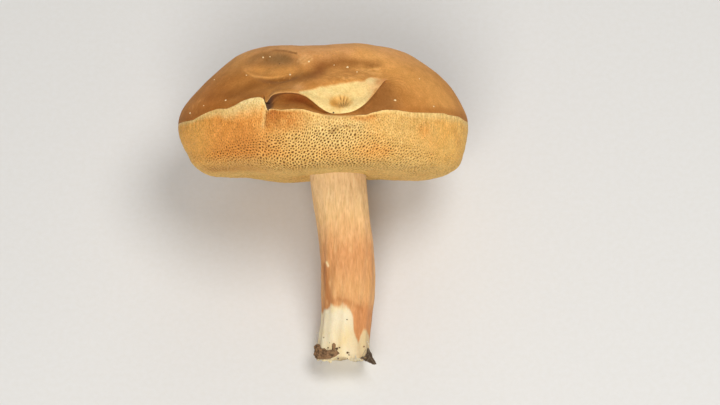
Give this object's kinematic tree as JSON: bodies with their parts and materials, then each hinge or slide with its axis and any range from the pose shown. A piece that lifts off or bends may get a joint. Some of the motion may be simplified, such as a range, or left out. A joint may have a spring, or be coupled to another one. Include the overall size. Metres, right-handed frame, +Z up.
{
  "type": "suede bolete mushroom",
  "caption": "Picked bolete lying on the back of its cap: domed suede cap with a torn lip, thick pored tube layer and a leaning stem with soil at its foot.",
  "frame": {"origin": "middle of the bounding box on the surface that the mushroom lies on", "axes": "+Z up from the surface, +Y along the stem's lean from foot to cap as seen from above, +X to the right with the torn lip uppermost"},
  "size_m": [0.0814, 0.0904, 0.0758],
  "materials": {
    "cap_skin": "matte suede skin, brown, with cream flesh in the torn lip",
    "pores": "matte golden sponge of angular pores",
    "stem_flesh": "matte fibrous tan, white felt at the foot",
    "soil": "dull crumbly brown",
    "litter": "dull dark dry leaf"
  },
  "bodies": {
    "root": {"cap": "cap_skin", "tube_layer": "pores", "stem": "stem_flesh", "soil_crust": "soil", "leaf_scrap": "litter"}
  },
  "joints": []
}
